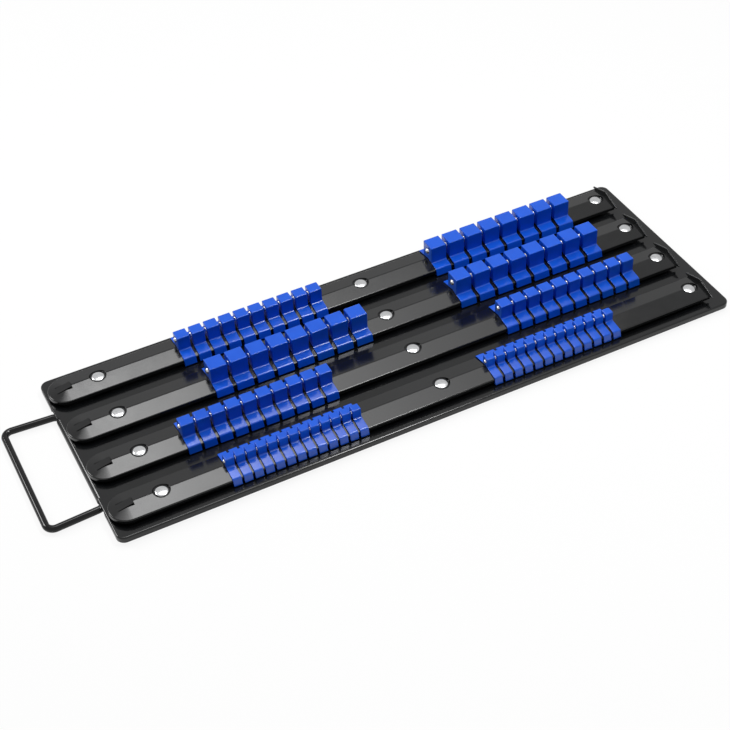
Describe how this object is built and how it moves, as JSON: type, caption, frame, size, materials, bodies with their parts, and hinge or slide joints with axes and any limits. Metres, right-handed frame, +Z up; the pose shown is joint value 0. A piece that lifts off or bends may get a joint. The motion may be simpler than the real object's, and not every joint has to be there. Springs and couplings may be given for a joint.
{
  "type": "socket rail",
  "caption": "Flat metal tray with a fold-under wire handle and riveted rails that carry sliding clips whose square posts hold sockets with sprung balls.",
  "frame": {"origin": "centre of the bounding box at the level of the feet's undersides", "axes": "+X along the rails away from the handle, +Y across the tray towards rail 1, +Z up"},
  "size_m": [0.5076, 0.1648, 0.0279],
  "materials": {
    "black_paint": "gloss black powder paint",
    "black_wire": "gloss black dipped wire",
    "bright_steel": "bright nickel-plated steel",
    "blue_plastic": "glossy blue moulded plastic",
    "black_rubber": "matt black rubber"
  },
  "bodies": {
    "tray": {"tray": "black_paint", "rail_1": "black_paint", "rail_2": "black_paint", "rail_3": "black_paint", "rail_4": "black_paint", "rivet_1_1": "bright_steel", "rivet_1_2": "bright_steel", "rivet_1_3": "bright_steel", "rivet_2_1": "bright_steel", "rivet_2_2": "bright_steel", "rivet_2_3": "bright_steel", "rivet_3_1": "bright_steel", "rivet_3_2": "bright_steel", "rivet_3_3": "bright_steel", "rivet_4_1": "bright_steel", "rivet_4_2": "bright_steel", "rivet_4_3": "bright_steel", "foot_1": "black_rubber", "foot_2": "black_rubber", "foot_3": "black_rubber", "foot_4": "black_rubber", "clip_row_4L": "blue_plastic", "clip_row_4R": "blue_plastic"},
    "handle": {"handle": "black_wire"},
    "clip_1L_first": {"clip_1L_first": "blue_plastic"},
    "ball_1L_first": {"ball_1L_first": "bright_steel"},
    "clip_1L_last": {"clip_1L_last": "blue_plastic"},
    "ball_1L_last": {"ball_1L_last": "bright_steel"},
    "clip_1R_first": {"clip_1R_first": "blue_plastic"},
    "ball_1R_first": {"ball_1R_first": "bright_steel"},
    "clip_1R_last": {"clip_1R_last": "blue_plastic"},
    "ball_1R_last": {"ball_1R_last": "bright_steel"},
    "clip_2L_first": {"clip_2L_first": "blue_plastic"},
    "ball_2L_first": {"ball_2L_first": "bright_steel"},
    "clip_2L_last": {"clip_2L_last": "blue_plastic"},
    "ball_2L_last": {"ball_2L_last": "bright_steel"},
    "clip_2R_first": {"clip_2R_first": "blue_plastic"},
    "ball_2R_first": {"ball_2R_first": "bright_steel"},
    "clip_2R_last": {"clip_2R_last": "blue_plastic"},
    "ball_2R_last": {"ball_2R_last": "bright_steel"},
    "clip_3L_first": {"clip_3L_first": "blue_plastic"},
    "ball_3L_first": {"ball_3L_first": "bright_steel"},
    "clip_3L_last": {"clip_3L_last": "blue_plastic"},
    "ball_3L_last": {"ball_3L_last": "bright_steel"},
    "clip_3R_first": {"clip_3R_first": "blue_plastic"},
    "ball_3R_first": {"ball_3R_first": "bright_steel"},
    "clip_3R_last": {"clip_3R_last": "blue_plastic"},
    "ball_3R_last": {"ball_3R_last": "bright_steel"},
    "clip_4L_first": {"clip_4L_first": "blue_plastic"},
    "ball_4L_first": {"ball_4L_first": "bright_steel"},
    "clip_4L_last": {"clip_4L_last": "blue_plastic"},
    "ball_4L_last": {"ball_4L_last": "bright_steel"},
    "clip_4R_first": {"clip_4R_first": "blue_plastic"},
    "ball_4R_first": {"ball_4R_first": "bright_steel"},
    "clip_4R_last": {"clip_4R_last": "blue_plastic"},
    "ball_4R_last": {"ball_4R_last": "bright_steel"}
  },
  "joints": [
    {"name": "handle_hinge", "type": "hinge", "parent": "tray", "child": "handle", "pos_m": [-0.21197, 0, 0.0038], "axis": [0, 1, 0], "range_deg": [-178, 0]},
    {"name": "clip_1L_first_slide", "type": "slide", "parent": "tray", "child": "clip_1L_first", "axis": [1, 0, 0], "range_m": [-0.075, 0]},
    {"name": "ball_1L_first_detent", "type": "slide", "parent": "clip_1L_first", "child": "ball_1L_first", "axis": [1, 0, 0], "range_m": [0, 0.0012], "stiffness_N_per_m": 1000, "springref_m": -0.001},
    {"name": "clip_1L_last_slide", "type": "slide", "parent": "tray", "child": "clip_1L_last", "axis": [1, 0, 0], "range_m": [0, 0.043]},
    {"name": "ball_1L_last_detent", "type": "slide", "parent": "clip_1L_last", "child": "ball_1L_last", "axis": [1, 0, 0], "range_m": [0, 0.0012], "stiffness_N_per_m": 1000, "springref_m": -0.001},
    {"name": "clip_1R_first_slide", "type": "slide", "parent": "tray", "child": "clip_1R_first", "axis": [1, 0, 0], "range_m": [-0.043, 0]},
    {"name": "ball_1R_first_detent", "type": "slide", "parent": "clip_1R_first", "child": "ball_1R_first", "axis": [1, 0, 0], "range_m": [0, 0.0013], "stiffness_N_per_m": 1500, "springref_m": -0.001},
    {"name": "clip_1R_last_slide", "type": "slide", "parent": "tray", "child": "clip_1R_last", "axis": [1, 0, 0], "range_m": [0, 0.036]},
    {"name": "ball_1R_last_detent", "type": "slide", "parent": "clip_1R_last", "child": "ball_1R_last", "axis": [1, 0, 0], "range_m": [0, 0.0013], "stiffness_N_per_m": 1500, "springref_m": -0.001},
    {"name": "clip_2L_first_slide", "type": "slide", "parent": "tray", "child": "clip_2L_first", "axis": [1, 0, 0], "range_m": [-0.083, 0]},
    {"name": "ball_2L_first_detent", "type": "slide", "parent": "clip_2L_first", "child": "ball_2L_first", "axis": [1, 0, 0], "range_m": [0, 0.0013], "stiffness_N_per_m": 1500, "springref_m": -0.001},
    {"name": "clip_2L_last_slide", "type": "slide", "parent": "tray", "child": "clip_2L_last", "axis": [1, 0, 0], "range_m": [0, 0.034]},
    {"name": "ball_2L_last_detent", "type": "slide", "parent": "clip_2L_last", "child": "ball_2L_last", "axis": [1, 0, 0], "range_m": [0, 0.0013], "stiffness_N_per_m": 1500, "springref_m": -0.001},
    {"name": "clip_2R_first_slide", "type": "slide", "parent": "tray", "child": "clip_2R_first", "axis": [1, 0, 0], "range_m": [-0.034, 0]},
    {"name": "ball_2R_first_detent", "type": "slide", "parent": "clip_2R_first", "child": "ball_2R_first", "axis": [1, 0, 0], "range_m": [0, 0.0013], "stiffness_N_per_m": 1500, "springref_m": -0.001},
    {"name": "clip_2R_last_slide", "type": "slide", "parent": "tray", "child": "clip_2R_last", "axis": [1, 0, 0], "range_m": [0, 0.037]},
    {"name": "ball_2R_last_detent", "type": "slide", "parent": "clip_2R_last", "child": "ball_2R_last", "axis": [1, 0, 0], "range_m": [0, 0.0013], "stiffness_N_per_m": 1500, "springref_m": -0.001},
    {"name": "clip_3L_first_slide", "type": "slide", "parent": "tray", "child": "clip_3L_first", "axis": [1, 0, 0], "range_m": [-0.046, 0]},
    {"name": "ball_3L_first_detent", "type": "slide", "parent": "clip_3L_first", "child": "ball_3L_first", "axis": [1, 0, 0], "range_m": [0, 0.0012], "stiffness_N_per_m": 1000, "springref_m": -0.001},
    {"name": "clip_3L_last_slide", "type": "slide", "parent": "tray", "child": "clip_3L_last", "axis": [1, 0, 0], "range_m": [0, 0.065]},
    {"name": "ball_3L_last_detent", "type": "slide", "parent": "clip_3L_last", "child": "ball_3L_last", "axis": [1, 0, 0], "range_m": [0, 0.0012], "stiffness_N_per_m": 1000, "springref_m": -0.001},
    {"name": "clip_3R_first_slide", "type": "slide", "parent": "tray", "child": "clip_3R_first", "axis": [1, 0, 0], "range_m": [-0.065, 0]},
    {"name": "ball_3R_first_detent", "type": "slide", "parent": "clip_3R_first", "child": "ball_3R_first", "axis": [1, 0, 0], "range_m": [0, 0.0012], "stiffness_N_per_m": 1000, "springref_m": -0.001},
    {"name": "clip_3R_last_slide", "type": "slide", "parent": "tray", "child": "clip_3R_last", "axis": [1, 0, 0], "range_m": [0, 0.032]},
    {"name": "ball_3R_last_detent", "type": "slide", "parent": "clip_3R_last", "child": "ball_3R_last", "axis": [1, 0, 0], "range_m": [0, 0.0012], "stiffness_N_per_m": 1000, "springref_m": -0.001},
    {"name": "clip_4L_first_slide", "type": "slide", "parent": "tray", "child": "clip_4L_first", "axis": [1, 0, 0], "range_m": [-0.06, 0]},
    {"name": "ball_4L_first_detent", "type": "slide", "parent": "clip_4L_first", "child": "ball_4L_first", "axis": [1, 0, 0], "range_m": [0, 0.0009], "stiffness_N_per_m": 600, "springref_m": -0.001},
    {"name": "clip_4L_last_slide", "type": "slide", "parent": "tray", "child": "clip_4L_last", "axis": [1, 0, 0], "range_m": [0, 0.047]},
    {"name": "ball_4L_last_detent", "type": "slide", "parent": "clip_4L_last", "child": "ball_4L_last", "axis": [1, 0, 0], "range_m": [0, 0.0009], "stiffness_N_per_m": 600, "springref_m": -0.001},
    {"name": "clip_4R_first_slide", "type": "slide", "parent": "tray", "child": "clip_4R_first", "axis": [1, 0, 0], "range_m": [-0.047, 0]},
    {"name": "ball_4R_first_detent", "type": "slide", "parent": "clip_4R_first", "child": "ball_4R_first", "axis": [1, 0, 0], "range_m": [0, 0.0009], "stiffness_N_per_m": 600, "springref_m": -0.001},
    {"name": "clip_4R_last_slide", "type": "slide", "parent": "tray", "child": "clip_4R_last", "axis": [1, 0, 0], "range_m": [0, 0.075]},
    {"name": "ball_4R_last_detent", "type": "slide", "parent": "clip_4R_last", "child": "ball_4R_last", "axis": [1, 0, 0], "range_m": [0, 0.0009], "stiffness_N_per_m": 600, "springref_m": -0.001}
  ]
}
